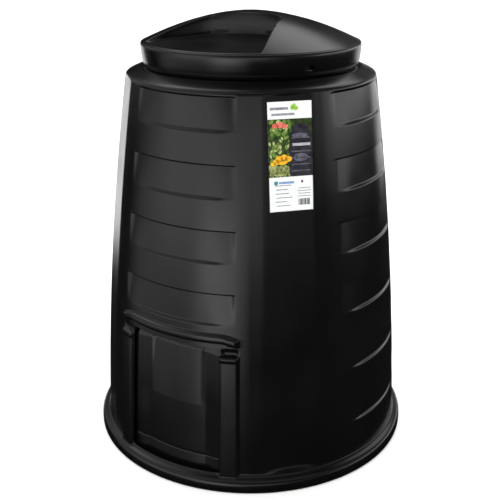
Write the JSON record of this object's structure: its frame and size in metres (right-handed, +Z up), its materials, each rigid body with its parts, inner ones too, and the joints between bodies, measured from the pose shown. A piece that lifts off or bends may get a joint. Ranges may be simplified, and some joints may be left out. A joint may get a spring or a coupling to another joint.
{
  "type": "compost bin",
  "caption": "Tapered round garden compost bin with ribbed panels, a lift-off domed lid with a grip bar, and a sliding access hatch at the foot.",
  "frame": {"origin": "centre of the open base ring, on the ground", "axes": "+Z up through the lid, -Y out through the hatch at the front, +X to the right seen from above with the hatch at the bottom"},
  "size_m": [0.762, 0.762, 1],
  "materials": {
    "body_plastic": "moulded black polyethylene, satin",
    "lid_plastic": "moulded black polyethylene, satin",
    "door_plastic": "moulded black polyethylene, satin",
    "printed_label": null
  },
  "bodies": {
    "bin": {"bin_body": "body_plastic", "product_label": "printed_label"},
    "lid": {"lid": "lid_plastic"},
    "hatch": {"hatch_door": "door_plastic"}
  },
  "joints": [
    {"name": "lid_lift", "type": "slide", "parent": "bin", "child": "lid", "axis": [0, 0, 1], "range_m": [0, 0.3]},
    {"name": "hatch_slide", "type": "slide", "parent": "bin", "child": "hatch", "axis": [0, 0.1142, 0.9935], "range_m": [0, 0.28]}
  ]
}
